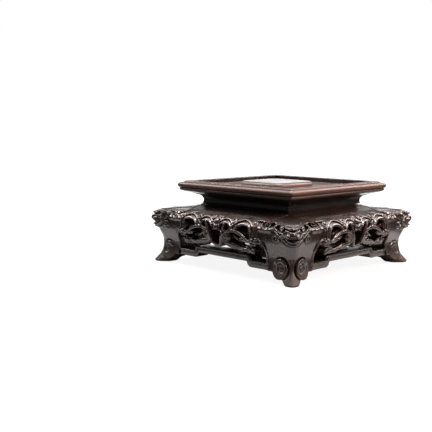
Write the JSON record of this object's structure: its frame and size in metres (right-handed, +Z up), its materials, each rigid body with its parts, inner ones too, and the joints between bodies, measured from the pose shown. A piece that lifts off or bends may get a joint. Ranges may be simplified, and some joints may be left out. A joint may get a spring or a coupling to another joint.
{
  "type": "hardwood stand",
  "caption": "Square waisted hardwood display stand: lipped tray with a raised boss, hollow waist, pierced carved aprons, masked cabriole legs and humpbacked stretchers.",
  "frame": {"origin": "on the floor, under the middle of the stand", "axes": "+Z up, +X and -Y out of the two faces that the picture shows"},
  "size_m": [0.204, 0.204, 0.0875],
  "materials": {
    "rosewood": "waxed and polished",
    "dark_rosewood": "stained and waxed"
  },
  "bodies": {
    "root": {"rim_rail_front": "rosewood", "rim_rail_right": "rosewood", "rim_rail_back": "rosewood", "rim_rail_left": "rosewood", "top_panel": "rosewood", "panel_batten": "dark_rosewood", "vessel_boss": "rosewood", "waist_front": "dark_rosewood", "waist_right": "dark_rosewood", "waist_back": "dark_rosewood", "waist_left": "dark_rosewood", "apron_front": "rosewood", "apron_right": "rosewood", "apron_back": "rosewood", "apron_left": "rosewood", "leg_front_right": "dark_rosewood", "leg_back_right": "dark_rosewood", "leg_back_left": "dark_rosewood", "leg_front_left": "dark_rosewood", "stretcher_front": "dark_rosewood", "stretcher_right": "dark_rosewood", "stretcher_back": "dark_rosewood", "stretcher_left": "dark_rosewood"}
  },
  "joints": []
}
